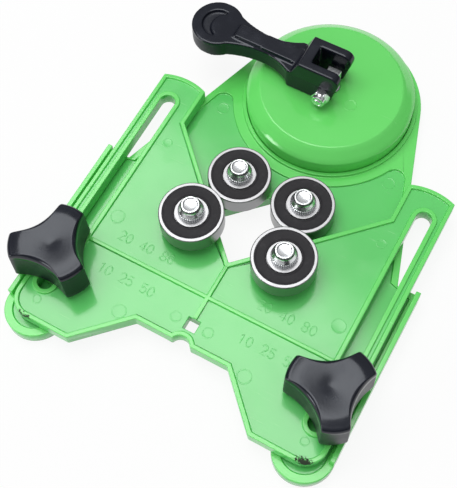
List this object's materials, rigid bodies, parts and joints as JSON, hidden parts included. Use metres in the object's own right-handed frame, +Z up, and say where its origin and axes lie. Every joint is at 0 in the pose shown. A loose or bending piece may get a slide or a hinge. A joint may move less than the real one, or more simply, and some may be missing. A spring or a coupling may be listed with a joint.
{
  "type": "tile hole drilling guide",
  "caption": "Hole-saw guide for tile: vacuum foot with cam lever, sliding plate clamped by lobed knobs, ball bearings that close on the bit.",
  "frame": {"origin": "on the tile's surface, under the middle of the suction cup", "axes": "+Z up from the tile, -Y from the vacuum foot towards the bit and the knobs, +X to the right seen from the knobs"},
  "size_m": [0.1248, 0.1613, 0.0302],
  "materials": {
    "green_plastic": "satin moulded green plastic",
    "black_plastic": "satin black moulded plastic",
    "bearing_steel": "ground and polished bearing steel",
    "plated_steel": "bright zinc plate",
    "seal_rubber": "matte moulded rubber",
    "cup_rubber": "soft matte rubber",
    "cage_nylon": "natural nylon",
    "insert_brass": "turned brass"
  },
  "bodies": {
    "base": {"base_plate": "green_plastic", "suction_housing": "green_plastic", "rear_left_inner_ring": "bearing_steel", "rear_left_screw": "plated_steel", "rear_left_nut": "plated_steel", "rear_right_inner_ring": "bearing_steel", "rear_right_screw": "plated_steel", "rear_right_nut": "plated_steel", "clamp_bolt_left": "plated_steel", "clamp_washer_left": "plated_steel", "clamp_bolt_right": "plated_steel", "clamp_washer_right": "plated_steel"},
    "slide": {"slide_plate": "green_plastic", "front_left_inner_ring": "bearing_steel", "front_left_screw": "plated_steel", "front_left_nut": "plated_steel", "front_right_inner_ring": "bearing_steel", "front_right_screw": "plated_steel", "front_right_nut": "plated_steel"},
    "knob_left_body": {"knob_left": "black_plastic", "knob_insert_left": "insert_brass"},
    "knob_right_body": {"knob_right": "black_plastic", "knob_insert_right": "insert_brass"},
    "front_left_ring_body": {"front_left_outer_ring": "bearing_steel", "front_left_seals": "seal_rubber"},
    "front_left_cage_body": {"front_left_cage": "cage_nylon", "front_left_balls": "bearing_steel"},
    "front_right_ring_body": {"front_right_outer_ring": "bearing_steel", "front_right_seals": "seal_rubber"},
    "front_right_cage_body": {"front_right_cage": "cage_nylon", "front_right_balls": "bearing_steel"},
    "rear_left_ring_body": {"rear_left_outer_ring": "bearing_steel", "rear_left_seals": "seal_rubber"},
    "rear_left_cage_body": {"rear_left_cage": "cage_nylon", "rear_left_balls": "bearing_steel"},
    "rear_right_ring_body": {"rear_right_outer_ring": "bearing_steel", "rear_right_seals": "seal_rubber"},
    "rear_right_cage_body": {"rear_right_cage": "cage_nylon", "rear_right_balls": "bearing_steel"},
    "stem_body": {"pull_stem": "plated_steel", "suction_cup": "cup_rubber"},
    "lever_body": {"cam_lever": "black_plastic", "pivot_bolt": "plated_steel", "pivot_nut": "plated_steel"}
  },
  "joints": [
    {"name": "slide_adjust", "type": "slide", "parent": "base", "child": "slide", "axis": [0, -1, 0], "range_m": [-0.0014, 0.0712]},
    {"name": "knob_left_turn", "type": "hinge", "parent": "base", "child": "knob_left_body", "pos_m": [-0.0501, -0.1016, 0.018], "axis": [0, 0, 1], "continuous": true},
    {"name": "knob_right_turn", "type": "hinge", "parent": "base", "child": "knob_right_body", "pos_m": [0.0501, -0.1016, 0.018], "axis": [0, 0, 1], "continuous": true},
    {"name": "front_left_ring_spin", "type": "hinge", "parent": "slide", "child": "front_left_ring_body", "pos_m": [-0.0172, -0.0691, 0.0169], "axis": [0, 0, 1], "continuous": true},
    {"name": "front_left_cage_spin", "type": "hinge", "parent": "slide", "child": "front_left_cage_body", "pos_m": [-0.0172, -0.0691, 0.0169], "axis": [0, 0, 1], "continuous": true},
    {"name": "front_right_ring_spin", "type": "hinge", "parent": "slide", "child": "front_right_ring_body", "pos_m": [0.0172, -0.0691, 0.0169], "axis": [0, 0, 1], "continuous": true},
    {"name": "front_right_cage_spin", "type": "hinge", "parent": "slide", "child": "front_right_cage_body", "pos_m": [0.0172, -0.0691, 0.0169], "axis": [0, 0, 1], "continuous": true},
    {"name": "rear_left_ring_spin", "type": "hinge", "parent": "base", "child": "rear_left_ring_body", "pos_m": [-0.0122, -0.0455, 0.009], "axis": [0, 0, 1], "continuous": true},
    {"name": "rear_left_cage_spin", "type": "hinge", "parent": "base", "child": "rear_left_cage_body", "pos_m": [-0.0122, -0.0455, 0.009], "axis": [0, 0, 1], "continuous": true},
    {"name": "rear_right_ring_spin", "type": "hinge", "parent": "base", "child": "rear_right_ring_body", "pos_m": [0.0122, -0.0455, 0.009], "axis": [0, 0, 1], "continuous": true},
    {"name": "rear_right_cage_spin", "type": "hinge", "parent": "base", "child": "rear_right_cage_body", "pos_m": [0.0122, -0.0455, 0.009], "axis": [0, 0, 1], "continuous": true},
    {"name": "stem_lift", "type": "slide", "parent": "base", "child": "stem_body", "axis": [0, 0, 1], "range_m": [-0.00095, 0]},
    {"name": "lever_flip", "type": "hinge", "parent": "stem_body", "child": "lever_body", "pos_m": [-0.0001, -0.0006, 0.0197], "axis": [0, 1, 0], "range_deg": [0, 72]}
  ],
  "couplings": [
    {"joint": "front_left_cage_spin", "follows": "front_left_ring_spin", "ratio": 0.63233},
    {"joint": "front_right_cage_spin", "follows": "front_right_ring_spin", "ratio": 0.63233},
    {"joint": "rear_left_cage_spin", "follows": "rear_left_ring_spin", "ratio": 0.63233},
    {"joint": "rear_right_cage_spin", "follows": "rear_right_ring_spin", "ratio": 0.63233},
    {"joint": "lever_flip", "follows": "stem_lift", "rad_per_m": -1322.7}
  ]
}
